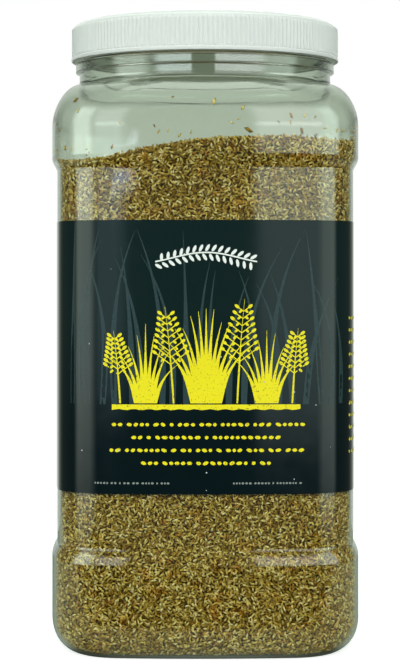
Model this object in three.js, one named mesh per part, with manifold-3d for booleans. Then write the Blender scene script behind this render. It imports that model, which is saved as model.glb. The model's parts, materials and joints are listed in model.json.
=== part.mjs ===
// A clear plastic jar of grass seed: a rounded-square jar with a round threaded neck,
// a white ribbed screw cap with its liner, a dark wrap label, and the fill of seed.
// Millimetres, +Z up. The jar stands on z = 0 about the Z axis, its front towards -Y.

import * as THREE from 'three';
import { mergeVertices } from 'three/addons/utils/BufferGeometryUtils.js';
import Module from 'manifold-3d';

const wasm = await Module();
wasm.setup();

const { smoothstep, lerp } = THREE.MathUtils;
const TURN = 2 * Math.PI;
const CLEARANCE = 0.3; // between pieces that touch on the real jar
const MERGE_TOLERANCE = 1e-4;

// Jar body: a rounded square in plan, half widths measured across the flats
const WALL = 1;
const BODY_HALF = 66.5; // foot band and shoulder band
const PANEL_HALF = 64.3; // recessed panel that carries the label
const SIDE_RADIUS = 360; // each side bows out a little, along an arc this wide
const CORNER_CENTRE = 35; // the centres of the corner arcs lie this far out both ways
const JAR_COLUMNS = 64;
const CORNER_CROWDING = 0.35; // draws the columns together at the four corners

// Jar heights
const PUSH_UP = 6; // rise of the dished bottom
const FOOT_INNER_HALF = 44;
const BOTTOM_CORNER_SHARE = 0.35; // corner radius of the dished bottom over its half width
const FOOT_FLAT_HALF = 52.5; // the jar stands on the flat ring between these two
const FOOT_ROUND = 14;
const FOOT_BAND_TOP = 39.8;
const PANEL_BOTTOM = 46.4;
const PANEL_TOP = 204.4;
const SHOULDER_BAND_BOTTOM = 210.2;
const SHOULDER_BAND_TOP = 224.5;
const SHOULDER_TOP = 242.2;
const SHOULDER_FULLNESS = 1.8; // the shoulder's curve is (1 - share ** fullness) ** roundness
const SHOULDER_ROUNDNESS = 0.8;
const SHOULDER_INSET_DROP = 0.7; // how much lower an inset shoulder lies, over its inset

// Neck: groove, bead, then the threaded finish up to the rim
const NECK_FOOT_RADIUS = 55.6;
const GROOVE_RADIUS = 55;
const GROOVE_BOTTOM = 243;
const GROOVE_TOP = 246.4;
const BEAD_RADIUS = 56.6;
const BEAD_BOTTOM = 247.4;
const BEAD_TOP = 251.4;
const BEAD_CHAMFER = 0.5;
const FINISH_RADIUS = 53.4; // outside of the neck between the thread's turns
const BORE_RADIUS = 51.8;
const RIM_Z = 267.5;
const RIM_CHAMFER = 0.5;

// Screw thread, shared by neck and cap: right-handed, one turn
const PITCH = 5.08;
const THREAD_CREST_RADIUS = 55;
const THREAD_ROOT_WIDTH = 2.4;
const THREAD_CREST_WIDTH = 1.2;
const THREAD_SINK = 0.4; // how deep a ridge is rooted in its wall
const THREAD_END_SINK = 0.3; // how deep its crest lies in the wall where the ridge ends
const THREAD_STEPS = 40;
const THREAD_LEAD_IN = 3; // steps over which each end of a ridge rises
const THREAD_START_Z = 258.2; // the middle of the neck's ridge where it begins
const THREAD_START_ANGLE = TURN / 4;
const CAP_THREAD_DROP = 2.25; // the cap's ridge runs this far under the neck's

// Cap
const CAP_BOTTOM = 253.5;
const CAP_TOP = 270.6;
const CAP_TOP_WALL = 1.7;
const CAP_RIM_RADIUS = 58.6;
const CAP_RIM_TOP = 255.1;
const CAP_CORE_RADIUS = 57.85;
const CAP_INNER_RADIUS = 55.5;
const CAP_THREAD_CREST_RADIUS = 53.9;
const CAP_RIM_CHAMFER = 0.3;
const CAP_EDGE_REACH = 6.5; // the top edge is rounded this far inwards
const CAP_EDGE_DROP = 3.6; // and this far down
const CAP_INNER_CHAMFER = 0.8;
const CAP_EDGE_STEPS = 3;
const CAP_COLUMNS = 72;
const RIB_COUNT = 184;
const RIB_CREST_RADIUS = 58.3;
const RIB_VALLEY_RADIUS = 57.95;
const RIB_BOTTOM = 255.3;
const RIB_TOP = 267.2;

// Liner disc between the rim and the cap's top wall
const LINER_THICKNESS = 0.8;
const LINER_RADIUS = 54.4;

// Label: a film round the recessed panel, its ends lapped at the back
const LABEL_BOTTOM = 69.5;
const LABEL_TOP = 182.6;
const LABEL_THICKNESS = 0.35;
const LABEL_LAP_WIDTH = 12;

// Seed fill: a core just inside the wall, its skin and top raised in grains
const FILL_INSET = WALL + 0.7;
const FILL_COLUMNS = 80;
const FILL_FOOT_STEPS = 4;
const FILL_SEED = 20;
const FILL_LEVEL = 214;
const HEAP_RISE = 3.6; // the heap lies this much over its mean level on the right, under it on the left
const HEAP_MIDDLE = -18;
const HEAP_SPREAD = 26;
const DIPS = [
  { x: -54, y: -62, depth: 3.6, width: 24, length: 30 },
  { x: 60, y: -62, depth: 1.6, width: 16, length: 40 },
];
const FIRST_GRAIN_Z = FOOT_ROUND + 1;
const GRAIN_STEP = 4.9; // height of one row of grains
const GRAIN_RELIEF = 1.7; // depth from the front of a grain to the gap beside it
const GRAIN_SHUFFLE = 1.3; // how far a grain strays along the skin
const HIDDEN_STEP = 28; // row height behind the label, where no grain shows
const TOP_RINGS = 6;

// ---- solids ---------------------------------------------------------------

function flipIfInsideOut(geometry) {
  const index = geometry.index.array;
  const p = geometry.attributes.position;
  const corner = (n) => new THREE.Vector3().fromBufferAttribute(p, n);
  let volume = 0;
  for (let i = 0; i < index.length; i += 3) {
    volume += corner(index[i]).dot(corner(index[i + 1]).cross(corner(index[i + 2])));
  }
  if (volume < 0) index.reverse();
  return geometry;
}

// A closed body through rings of equally many points. A ring of one point is a pole;
// without poles the last ring joins the first when looped, or else both ends are fanned.
function loft(rings, looped = false) {
  const points = rings.flat();
  const starts = [];
  let total = 0;
  for (const ring of rings) {
    starts.push(total);
    total += ring.length;
  }
  const index = [];
  const last = looped ? rings.length : rings.length - 1;
  for (let r = 0; r < last; r += 1) {
    const next = (r + 1) % rings.length;
    const n = rings[r].length;
    const m = rings[next].length;
    for (let i = 0; i < Math.max(n, m); i += 1) {
      const a = starts[r] + (i % n);
      const b = starts[r] + ((i + 1) % n);
      const c = starts[next] + ((i + 1) % m);
      const d = starts[next] + (i % m);
      if (n > 1) index.push(a, b, c);
      if (m > 1) index.push(a, c, d);
    }
  }
  if (!looped) {
    const first = rings[0].length;
    for (let i = 1; i < first - 1; i += 1) index.push(0, i + 1, i);
    const top = starts.at(-1);
    for (let i = 1; i < rings.at(-1).length - 1; i += 1) index.push(top, top + i, top + i + 1);
  }
  const geometry = new THREE.BufferGeometry().setFromPoints(points);
  geometry.setIndex(index);
  return flipIfInsideOut(geometry);
}

function toSolid(geometry) {
  const bare = geometry.clone();
  bare.deleteAttribute('normal');
  bare.deleteAttribute('uv');
  const merged = mergeVertices(bare, MERGE_TOLERANCE);
  const vertProperties = new Float32Array(merged.attributes.position.array);
  const triVerts = new Uint32Array(merged.index.array);
  return new wasm.Manifold(new wasm.Mesh({ numProp: 3, vertProperties, triVerts }));
}

function toGeometry(solid) {
  const mesh = solid.getMesh();
  const geometry = new THREE.BufferGeometry();
  geometry.setAttribute('position', new THREE.BufferAttribute(mesh.vertProperties, 3));
  geometry.setIndex(new THREE.BufferAttribute(mesh.triVerts, 1));
  return geometry;
}

function named(name, geometry, material) {
  geometry.computeVertexNormals();
  const mesh = new THREE.Mesh(geometry, material);
  mesh.name = name;
  return mesh;
}

// ---- plan outline of the jar ----------------------------------------------

// Distance from the axis to a rounded square with bowed sides, looking out at an angle
function squareRadius(half, corner, angle) {
  const x = Math.abs(Math.cos(angle));
  const y = Math.abs(Math.sin(angle));
  const out = Math.max(x, y);
  const aside = Math.min(x, y);
  const centre = half - corner;
  const sideCentre = half - SIDE_RADIUS;
  const reach = sideCentre * out + Math.sqrt(SIDE_RADIUS ** 2 - (sideCentre * aside) ** 2);
  if (reach * aside * (centre - sideCentre) <= centre * (reach * out - sideCentre)) return reach;
  const cornerRadius = SIDE_RADIUS - Math.hypot(centre - sideCentre, centre);
  const along = (x + y) * centre;
  return along + Math.sqrt(along ** 2 - 2 * centre ** 2 + cornerRadius ** 2);
}

function angles(columns, crowding) {
  return Array.from({ length: columns }, (_, i) => {
    const even = (TURN * i) / columns;
    return even + (crowding * Math.sin(4 * even)) / 4;
  });
}

const JAR_ANGLES = angles(JAR_COLUMNS, CORNER_CROWDING);

function squareRing({ half, corner, z }, columnAngles = JAR_ANGLES) {
  if (half === 0) return [new THREE.Vector3(0, 0, z)];
  return columnAngles.map((angle) => {
    const radius = squareRadius(half, corner, angle);
    return new THREE.Vector3(radius * Math.cos(angle), radius * Math.sin(angle), z);
  });
}

const round = (radius, z) => ({ half: radius, corner: radius, z });

// Half width of the body at a height, for the outside or for a skin inset from it
function bodyHalf(z, inset) {
  if (z < FOOT_ROUND) {
    const reach = (FOOT_ROUND - inset) ** 2 - (FOOT_ROUND - z) ** 2;
    return FOOT_FLAT_HALF + Math.sqrt(Math.max(0, reach));
  }
  const aboveFoot = smoothstep(z, FOOT_BAND_TOP, PANEL_BOTTOM);
  const belowShoulder = 1 - smoothstep(z, PANEL_TOP, SHOULDER_BAND_BOTTOM);
  return BODY_HALF - (BODY_HALF - PANEL_HALF) * aboveFoot * belowShoulder - inset;
}

function bodyRow(z, inset) {
  const half = bodyHalf(z, inset);
  return { half, corner: half - CORNER_CENTRE, z };
}

// The dished bottom, from the axis out to the flat foot ring
function bottomRows(inset) {
  return [0, 0.5, 0.8, 1].map((share) => {
    const half = share * FOOT_INNER_HALF;
    return { half, corner: BOTTOM_CORNER_SHARE * half, z: PUSH_UP * (1 - share ** 2) + inset };
  });
}

function footRows(inset, steps) {
  return Array.from({ length: steps + 1 }, (_, i) => {
    const turn = (i / steps) * (TURN / 4);
    return bodyRow(FOOT_ROUND - (FOOT_ROUND - inset) * Math.cos(turn), inset);
  });
}

// The shoulder turns the rounded square into the round neck; share runs from 0 to 1 up it
function shoulderRow(share, inset) {
  const span = BODY_HALF - NECK_FOOT_RADIUS;
  const half = NECK_FOOT_RADIUS + span * (1 - share ** SHOULDER_FULLNESS) ** SHOULDER_ROUNDNESS;
  const bodyDiagonal = CORNER_CENTRE * Math.SQRT2 + BODY_HALF - CORNER_CENTRE;
  const rise = Math.sqrt(1 - share * share);
  const diagonal = NECK_FOOT_RADIUS + (bodyDiagonal - NECK_FOOT_RADIUS) * rise;
  const corner = (Math.SQRT2 * half - diagonal) / (Math.SQRT2 - 1);
  const z = lerp(SHOULDER_BAND_TOP, SHOULDER_TOP, share);
  return { half: half - inset, corner: corner - inset, z: z - SHOULDER_INSET_DROP * inset };
}

// ---- thread ---------------------------------------------------------------

// One turn of ridge rooted in a wall; it points in or out as its crest lies
function threadRidge(wallRadius, crestRadius, startZ) {
  const outwards = Math.sign(crestRadius - wallRadius);
  const rings = [];
  for (let i = 0; i <= THREAD_STEPS; i += 1) {
    const angle = THREAD_START_ANGLE + (TURN * i) / THREAD_STEPS;
    const z = startZ + (PITCH * i) / THREAD_STEPS;
    const rise = Math.min(1, Math.min(i, THREAD_STEPS - i) / THREAD_LEAD_IN);
    const root = wallRadius - outwards * THREAD_SINK;
    const crest = lerp(wallRadius - outwards * THREAD_END_SINK, crestRadius, rise);
    const section = [
      [root, -THREAD_ROOT_WIDTH / 2],
      [crest, -THREAD_CREST_WIDTH / 2],
      [crest, THREAD_CREST_WIDTH / 2],
      [root, THREAD_ROOT_WIDTH / 2],
    ];
    const place = ([radius, dz]) =>
      new THREE.Vector3(radius * Math.cos(angle), radius * Math.sin(angle), z + dz);
    rings.push(section.map(place));
  }
  return loft(rings);
}

// ---- jar ------------------------------------------------------------------

function makeJar() {
  const outside = [
    ...bottomRows(0),
    ...footRows(0, 5),
    bodyRow(FOOT_BAND_TOP, 0),
    bodyRow((FOOT_BAND_TOP + PANEL_BOTTOM) / 2, 0),
    bodyRow(PANEL_BOTTOM, 0),
    bodyRow(PANEL_TOP, 0),
    bodyRow((PANEL_TOP + SHOULDER_BAND_BOTTOM) / 2, 0),
    bodyRow(SHOULDER_BAND_BOTTOM, 0),
    ...[0, 0.3, 0.6, 0.8, 0.95, 1].map((share) => shoulderRow(share, 0)),
    round(GROOVE_RADIUS, GROOVE_BOTTOM),
    round(GROOVE_RADIUS, GROOVE_TOP),
    round(BEAD_RADIUS, BEAD_BOTTOM),
    round(BEAD_RADIUS, BEAD_TOP - BEAD_CHAMFER),
    round(BEAD_RADIUS - BEAD_CHAMFER, BEAD_TOP),
    round(FINISH_RADIUS, BEAD_TOP + BEAD_CHAMFER),
    round(FINISH_RADIUS, RIM_Z - RIM_CHAMFER),
    round(FINISH_RADIUS - RIM_CHAMFER, RIM_Z),
  ];
  const inside = [
    ...bottomRows(WALL),
    ...footRows(WALL, 4),
    bodyRow(FOOT_BAND_TOP, WALL),
    bodyRow(PANEL_BOTTOM, WALL),
    bodyRow(PANEL_TOP, WALL),
    bodyRow(SHOULDER_BAND_BOTTOM, WALL),
    ...[0, 0.5, 0.8, 1].map((share) => shoulderRow(share, WALL)),
    round(BORE_RADIUS, GROOVE_TOP),
    round(BORE_RADIUS, RIM_Z),
  ];
  const rings = [...outside, ...inside.reverse()].map((row) => squareRing(row));
  const shell = toSolid(loft(rings));
  const ridge = toSolid(threadRidge(FINISH_RADIUS, THREAD_CREST_RADIUS, THREAD_START_Z));
  const material = new THREE.MeshStandardMaterial({
    color: 0xbccab6,
    roughness: 0.06,
    metalness: 0,
    transparent: true,
    opacity: 0.35,
  });
  return named('jar', toGeometry(shell.add(ridge)), material);
}

// ---- cap and liner --------------------------------------------------------

function ribBand() {
  const outline = new THREE.Shape();
  for (let i = 0; i < 2 * RIB_COUNT; i += 1) {
    const radius = i % 2 ? RIB_VALLEY_RADIUS : RIB_CREST_RADIUS;
    const angle = (TURN * i) / (2 * RIB_COUNT);
    const point = [radius * Math.cos(angle), radius * Math.sin(angle)];
    if (i) outline.lineTo(...point);
    else outline.moveTo(...point);
  }
  outline.closePath();
  const band = new THREE.ExtrudeGeometry(outline, {
    depth: RIB_TOP - RIB_BOTTOM,
    bevelEnabled: false,
  });
  return toSolid(band.translate(0, 0, RIB_BOTTOM));
}

function makeCap() {
  const capAngles = angles(CAP_COLUMNS, 0);
  const underside = CAP_TOP - CAP_TOP_WALL;
  const topEdge = Array.from({ length: CAP_EDGE_STEPS + 1 }, (_, i) => {
    const turn = (i / CAP_EDGE_STEPS) * (TURN / 4);
    const radius = CAP_CORE_RADIUS - CAP_EDGE_REACH * (1 - Math.cos(turn));
    return round(radius, CAP_TOP - CAP_EDGE_DROP * (1 - Math.sin(turn)));
  });
  const profile = [
    round(0, underside),
    round(CAP_INNER_RADIUS - CAP_INNER_CHAMFER, underside),
    round(CAP_INNER_RADIUS, underside - CAP_INNER_CHAMFER),
    round(CAP_INNER_RADIUS, CAP_BOTTOM),
    round(CAP_RIM_RADIUS - CAP_RIM_CHAMFER, CAP_BOTTOM),
    round(CAP_RIM_RADIUS, CAP_BOTTOM + CAP_RIM_CHAMFER),
    round(CAP_RIM_RADIUS, CAP_RIM_TOP),
    round(CAP_CORE_RADIUS, CAP_RIM_TOP + CAP_RIM_CHAMFER),
    ...topEdge,
    round(0, CAP_TOP),
  ];
  const core = toSolid(loft(profile.map((row) => squareRing(row, capAngles))));
  const start = THREAD_START_Z - CAP_THREAD_DROP;
  const ridge = toSolid(threadRidge(CAP_INNER_RADIUS, CAP_THREAD_CREST_RADIUS, start));
  const wallMiddle = (CAP_INNER_RADIUS + CAP_CORE_RADIUS) / 2;
  const hollow = new THREE.CylinderGeometry(wallMiddle, wallMiddle, CAP_TOP, CAP_COLUMNS);
  hollow.rotateX(TURN / 4).translate(0, 0, CAP_BOTTOM);
  const ribs = ribBand().subtract(toSolid(hollow));
  const material = new THREE.MeshStandardMaterial({
    color: 0xe2ebe3,
    roughness: 0.42,
    metalness: 0,
  });
  return named('cap', toGeometry(core.add(ribs).add(ridge)), material);
}

function makeLiner() {
  const bottom = RIM_Z + CLEARANCE;
  const disc = [
    round(0, bottom),
    round(LINER_RADIUS, bottom),
    round(LINER_RADIUS, bottom + LINER_THICKNESS),
    round(0, bottom + LINER_THICKNESS),
  ];
  const linerAngles = angles(CAP_COLUMNS, 0);
  const material = new THREE.MeshStandardMaterial({
    color: 0xefefe9,
    roughness: 0.8,
    metalness: 0,
  });
  return named('liner', loft(disc.map((row) => squareRing(row, linerAngles))), material);
}

// ---- label ----------------------------------------------------------------

function makeLabel() {
  const inner = PANEL_HALF + CLEARANCE;
  const outer = inner + LABEL_THICKNESS;
  const row = (half, z) => squareRing({ half, corner: half - CORNER_CENTRE, z });
  const film = loft(
    [row(inner, LABEL_BOTTOM), row(outer, LABEL_BOTTOM), row(outer, LABEL_TOP), row(inner, LABEL_TOP)],
    true,
  );
  const height = LABEL_TOP - LABEL_BOTTOM;
  const lap = new THREE.BoxGeometry(LABEL_LAP_WIDTH, 2 * LABEL_THICKNESS, height);
  lap.translate(0, inner + LABEL_THICKNESS, LABEL_BOTTOM + height / 2);
  const material = new THREE.MeshStandardMaterial({
    color: 0x14242b,
    roughness: 0.35,
    metalness: 0,
  });
  return named('label', toGeometry(toSolid(film).add(toSolid(lap))), material);
}

// ---- seed fill ------------------------------------------------------------

// A linear congruential generator, so that every build strews the grains alike
function seededRandom(seed) {
  const multiplier = 1664525;
  const increment = 1013904223;
  const range = 2 ** 32;
  let state = seed;
  return () => {
    state = (state * multiplier + increment) % range;
    return state / range;
  };
}

// Height of the settled seed: low at the front left corner, heaped to the right
function fillLevel(x, y) {
  let level = FILL_LEVEL + HEAP_RISE * Math.tanh((x - HEAP_MIDDLE) / HEAP_SPREAD);
  for (const dip of DIPS) {
    const away = ((x - dip.x) / dip.width) ** 2 + ((y - dip.y) / dip.length) ** 2;
    level -= dip.depth * Math.exp(-away);
  }
  return level;
}

function makeSeedFill() {
  const random = seededRandom(FILL_SEED);
  const fillAngles = angles(FILL_COLUMNS, CORNER_CROWDING);
  const grainAngle = TURN / FILL_COLUMNS;

  // One point of the skin, set back and shifted at random where grains show
  const skinPoint = (angle, z, inset, showing) => {
    const row = bodyRow(z, inset + showing * GRAIN_RELIEF * random());
    const shift = (showing * GRAIN_SHUFFLE * (random() - 0.5) * grainAngle) / GRAIN_STEP;
    const radius = squareRadius(row.half, row.corner, angle + shift);
    return new THREE.Vector3(
      radius * Math.cos(angle + shift),
      radius * Math.sin(angle + shift),
      z + showing * GRAIN_SHUFFLE * (random() - 0.5),
    );
  };
  const level = (angle) => {
    const reach = squareRadius(PANEL_HALF, PANEL_HALF - CORNER_CENTRE, angle);
    return fillLevel(reach * Math.cos(angle), reach * Math.sin(angle));
  };

  const rings = bottomRows(FILL_INSET).map((row) => squareRing(row, fillAngles));
  for (const row of footRows(FILL_INSET, FILL_FOOT_STEPS).slice(0, -1)) {
    rings.push(squareRing(row, fillAngles));
  }
  for (let z = FIRST_GRAIN_Z; z < LABEL_BOTTOM; z += GRAIN_STEP) {
    rings.push(fillAngles.map((angle) => skinPoint(angle, z, FILL_INSET, 1)));
  }
  for (let z = LABEL_BOTTOM + GRAIN_STEP; z < LABEL_TOP; z += HIDDEN_STEP) {
    rings.push(fillAngles.map((angle) => skinPoint(angle, z, FILL_INSET, 0)));
  }
  const upperRows = Math.round((FILL_LEVEL - LABEL_TOP) / GRAIN_STEP);
  for (let i = 0; i <= upperRows; i += 1) {
    const share = i / upperRows;
    rings.push(
      fillAngles.map((angle) => {
        const z = lerp(LABEL_TOP, level(angle), share);
        return skinPoint(angle, z, FILL_INSET, 1);
      }),
    );
  }
  const edge = rings.at(-1);
  for (let ring = 1; ring < TOP_RINGS; ring += 1) {
    const share = 1 - ring / TOP_RINGS;
    rings.push(
      edge.map((point) => {
        const x = point.x * share;
        const y = point.y * share;
        return new THREE.Vector3(x, y, fillLevel(x, y) + GRAIN_RELIEF * (random() - 0.5));
      }),
    );
  }
  rings.push([new THREE.Vector3(0, 0, fillLevel(0, 0))]);
  const material = new THREE.MeshStandardMaterial({
    color: 0x8f7a42,
    roughness: 0.85,
    metalness: 0,
    flatShading: true,
  });
  return named('seed_fill', loft(rings), material);
}

// ---- assembly -------------------------------------------------------------

const jarOfSeed = new THREE.Group();
jarOfSeed.name = 'jar_of_grass_seed';
jarOfSeed.add(makeJar(), makeCap(), makeLiner(), makeLabel(), makeSeedFill());

export default jarOfSeed;
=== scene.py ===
import json
import math
import random

import bpy
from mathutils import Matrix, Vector

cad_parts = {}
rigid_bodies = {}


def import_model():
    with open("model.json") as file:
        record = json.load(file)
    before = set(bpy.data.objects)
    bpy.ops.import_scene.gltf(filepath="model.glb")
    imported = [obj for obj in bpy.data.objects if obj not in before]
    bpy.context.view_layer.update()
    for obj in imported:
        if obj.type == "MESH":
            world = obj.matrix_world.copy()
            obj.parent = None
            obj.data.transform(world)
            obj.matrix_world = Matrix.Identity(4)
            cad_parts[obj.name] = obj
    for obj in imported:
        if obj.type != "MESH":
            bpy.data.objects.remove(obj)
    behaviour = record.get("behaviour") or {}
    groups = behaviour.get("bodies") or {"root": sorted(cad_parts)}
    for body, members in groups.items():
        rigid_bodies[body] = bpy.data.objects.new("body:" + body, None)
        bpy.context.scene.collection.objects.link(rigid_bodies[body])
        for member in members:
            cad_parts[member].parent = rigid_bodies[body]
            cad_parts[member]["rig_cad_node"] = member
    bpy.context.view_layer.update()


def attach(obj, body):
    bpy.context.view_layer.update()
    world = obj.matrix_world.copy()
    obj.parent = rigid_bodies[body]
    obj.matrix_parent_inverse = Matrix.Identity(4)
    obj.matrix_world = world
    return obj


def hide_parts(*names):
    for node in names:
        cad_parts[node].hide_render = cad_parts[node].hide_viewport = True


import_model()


# ---- Camera -----------------------------------------------------------------
# A long lens held level, a metre in front of the jar and a little above the
# middle of the label, so that the cap is seen slightly from below.
MM = 0.001
CAMERA_HEIGHT = 153.7 * MM
CAMERA_DISTANCE = 1011 * MM
CAMERA_SWING = 0.008
LENS = 124.6
SENSOR_WIDTH = 36
CAMERA_SHIFT = (-0.0074, -0.0633)
NEAR_CLIP = 0.05

scene = bpy.context.scene
camera_data = bpy.data.cameras.new("camera")
camera_data.lens = LENS
camera_data.sensor_width = SENSOR_WIDTH
camera_data.shift_x, camera_data.shift_y = CAMERA_SHIFT
camera_data.clip_start = NEAR_CLIP
camera = bpy.data.objects.new("camera", camera_data)
camera.location = (-CAMERA_DISTANCE * math.sin(CAMERA_SWING),
                   -CAMERA_DISTANCE * math.cos(CAMERA_SWING), CAMERA_HEIGHT)
camera.rotation_euler = (math.pi / 2, 0, -CAMERA_SWING)
scene.collection.objects.link(camera)
scene.camera = camera


# ---- Studio -----------------------------------------------------------------
# A white table and a soft tent: pale grey-green cloth behind and over the jar, and
# a dim room in front of it. Two tall panels with a row of lamps each stand left and
# right of the camera, and two light boxes at the sides. The camera sees only white.
scene.view_settings.view_transform = "Standard"
scene.view_settings.look = "None"


def add_node(tree, kind, inputs=None, **settings):
    """A node with its settings. Each input takes a value, or a link from another node."""
    node = tree.nodes.new(kind)
    for key, value in settings.items():
        setattr(node, key, value)
    for key, value in (inputs or {}).items():
        if isinstance(value, bpy.types.NodeSocket):
            tree.links.new(value, node.inputs[key])
        else:
            node.inputs[key].default_value = value
    return node


def calculate(tree, operation, a, b=0.0):
    return add_node(tree, "ShaderNodeMath", {0: a, 1: b}, operation=operation).outputs[0]


def step_mask(tree, value, start, end):
    return add_node(tree, "ShaderNodeMapRange",
                    {"Value": value, "From Min": start, "From Max": end},
                    interpolation_type="SMOOTHSTEP").outputs["Result"]


def mix_colors(tree, mask, a, b, blend="MIX"):
    node = add_node(tree, "ShaderNodeMix", data_type="RGBA", blend_type=blend)
    for name, value in (("Factor_Float", mask), ("A_Color", a), ("B_Color", b)):
        socket = next(s for s in node.inputs if s.identifier == name)
        if isinstance(value, (int, float)):
            socket.default_value = value
        elif isinstance(value, tuple):
            socket.default_value = (*value, 1)
        else:
            tree.links.new(value, socket)
    return next(s for s in node.outputs if s.identifier == "Result_Color")


world = bpy.data.worlds.new("soft tent")
world.use_nodes = True
scene.world = world
tent = world.node_tree
tent.nodes.clear()
direction = add_node(tent, "ShaderNodeTexCoord").outputs["Generated"]
# A bearing is an angle round the jar from straight in front of it, to the right in
# radians. A rise runs from 0 for level to 1 for straight up.
along_x, along_y, rise = add_node(tent, "ShaderNodeSeparateXYZ", {"Vector": direction}).outputs
bearing = calculate(tent, "ARCTAN2", along_x, calculate(tent, "MULTIPLY", along_y, -1.0))
ROOM_COLOR = (0.085, 0.100, 0.085)
CLOTH_COLOR = (0.60, 0.67, 0.59)
CLOTH_EDGE = (2.25, 2.95)
ROOF_COLOR = (1.10, 1.18, 1.10)
ROOF_EDGE = (0.955, 0.975)
PANEL_HORIZON = (0.056, 0.076)
LAMP_ROW = (0.0885, 0.112)
LAMP_BLURS = (0.003, 0.005)
UPPER_BLUR = 0.08


def window_mask(value, start, end, blur_start, blur_end=None):
    opening = step_mask(tent, value, start - blur_start, start + blur_start)
    blur_end = blur_end or blur_start
    closing = step_mask(tent, value, end - blur_end, end + blur_end)
    return calculate(tent, "MULTIPLY", opening, calculate(tent, "SUBTRACT", 1.0, closing))


def hang_panel(room, bearings, blurs, rises, lower_blur, color):
    across = window_mask(bearing, *bearings, *blurs)
    upright = window_mask(rise, *rises, lower_blur, UPPER_BLUR)
    return mix_colors(tent, calculate(tent, "MULTIPLY", across, upright), room, color)


def with_lamps(low, high, lamp):
    """A panel's colour below and above the horizon, and its narrow row of lamps."""
    level = mix_colors(tent, step_mask(tent, rise, *PANEL_HORIZON), low, high)
    return mix_colors(tent, window_mask(rise, *LAMP_ROW, *LAMP_BLURS), level, lamp)


def leaning(value, other, lean):
    return calculate(tent, "SUBTRACT", value, calculate(tent, "MULTIPLY", other, lean))


cloth = step_mask(tent, calculate(tent, "ABSOLUTE", bearing), *CLOTH_EDGE)
room = mix_colors(tent, cloth, ROOM_COLOR, CLOTH_COLOR)
room = mix_colors(tent, step_mask(tent, rise, *ROOF_EDGE), room, ROOF_COLOR)
room = hang_panel(room, bearings=(-0.80, -0.217), blurs=(0.10, 0.02), rises=(-0.050, 0.60),
                  lower_blur=0.012, color=with_lamps(low=(0.78, 1.00, 1.12),
                                                     high=(1.55, 1.65, 1.65),
                                                     lamp=(3.5, 4.1, 4.0)))
room = hang_panel(room, bearings=(0.150, 1.00), blurs=(0.02, 0.10), rises=(-0.066, 0.64),
                  lower_blur=0.014, color=with_lamps(low=(1.00, 1.22, 1.18),
                                                     high=(1.50, 1.50, 1.50),
                                                     lamp=(3.8, 4.1, 4.0)))
room = hang_panel(room, bearings=(-1.55, -0.92), blurs=(0.12, 0.16), rises=(-0.080, 0.66),
                  lower_blur=0.050, color=(2.60, 3.00, 2.70))
room = hang_panel(room, bearings=(0.98, 1.55), blurs=(0.14, 0.10), rises=(-0.085, 0.66),
                  lower_blur=0.030, color=(1.95, 2.35, 2.10))
# Two slanted gaps in the tent let in blue daylight: a ragged long one and a short one.
LONG_GAP_LIGHT = (3.8, 4.8, 6.2)
SHORT_GAP_LIGHT = (4.6, 5.2, 6.2)
patches = add_node(tent, "ShaderNodeTexNoise",
                   {"Vector": direction, "Scale": 22, "Detail": 3, "Roughness": 0.6})
ragged = calculate(tent, "ADD", 0.65, calculate(
    tent, "MULTIPLY", 0.35, step_mask(tent, patches.outputs["Fac"], 0.42, 0.54)))
long_gap = calculate(tent, "MULTIPLY", window_mask(bearing, -0.335, -0.188, 0.012),
                     window_mask(leaning(rise, bearing, 0.035), 0.0538, 0.0590, 0.0012))
room = mix_colors(tent, calculate(tent, "MULTIPLY", ragged, long_gap), room, LONG_GAP_LIGHT)
short_gap = calculate(tent, "MULTIPLY", window_mask(rise, 0.0588, 0.0675, 0.0020),
                      window_mask(leaning(bearing, rise, 3.27), -0.4020, -0.3890, 0.004))
room = mix_colors(tent, short_gap, room, SHORT_GAP_LIGHT)
backdrop = add_node(tent, "ShaderNodeBackground", {"Color": room})
paper = add_node(tent, "ShaderNodeBackground", {"Color": (1, 1, 1, 1), "Strength": 1.0})


def mix_shaders(tree, mask, a, b, output):
    mixed = add_node(tree, "ShaderNodeMixShader", {0: mask, 1: a.outputs[0], 2: b.outputs[0]})
    tree.links.new(mixed.outputs[0], output.inputs["Surface"])


mix_shaders(tent, add_node(tent, "ShaderNodeLightPath").outputs["Is Camera Ray"], backdrop, paper,
            add_node(tent, "ShaderNodeOutputWorld"))


def add_lamp(name, location, target, size, power):
    """A soft lamp that lights the jar, but doesn't show in its gloss."""
    data = bpy.data.lights.new(name, "AREA")
    data.shape = "RECTANGLE"
    data.size, data.size_y = size
    data.energy = power
    light = bpy.data.objects.new(name, data)
    light.location = location
    light.rotation_euler = (Vector(target) - Vector(location)).to_track_quat("-Z", "Y").to_euler()
    light.visible_glossy = False
    light.visible_transmission = False
    scene.collection.objects.link(light)


add_lamp("top light", location=(0, -0.2, 1.3), target=(0, 0, 0.1), size=(1.0, 1.0), power=0.3)
add_lamp("front light", location=(0, -1.6, 0.7), target=(0, 0, 0.12), size=(1.2, 1.0), power=22)


def new_material(name, finish):
    """A material, its tree, its Principled shader with this finish, and its output."""
    material = bpy.data.materials.new(name)
    material.use_nodes = True
    tree = material.node_tree
    tree.nodes.clear()
    surface = add_node(tree, "ShaderNodeBsdfPrincipled", finish)
    output = add_node(tree, "ShaderNodeOutputMaterial", {"Surface": surface.outputs[0]})
    return material, tree, surface, output


def mesh_object(name, vertices, faces, smooth=True):
    mesh = bpy.data.meshes.new(name)
    mesh.from_pydata(vertices, [], faces)
    mesh.validate()
    if smooth:
        mesh.shade_smooth()
    piece = bpy.data.objects.new(name, mesh)
    scene.collection.objects.link(piece)
    return piece


def place_on_piece(tree):
    """Where a point lies on its piece, as x, y and z in metres."""
    place = add_node(tree, "ShaderNodeTexCoord").outputs["Object"]
    return add_node(tree, "ShaderNodeSeparateXYZ", {"Vector": place}).outputs


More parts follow.
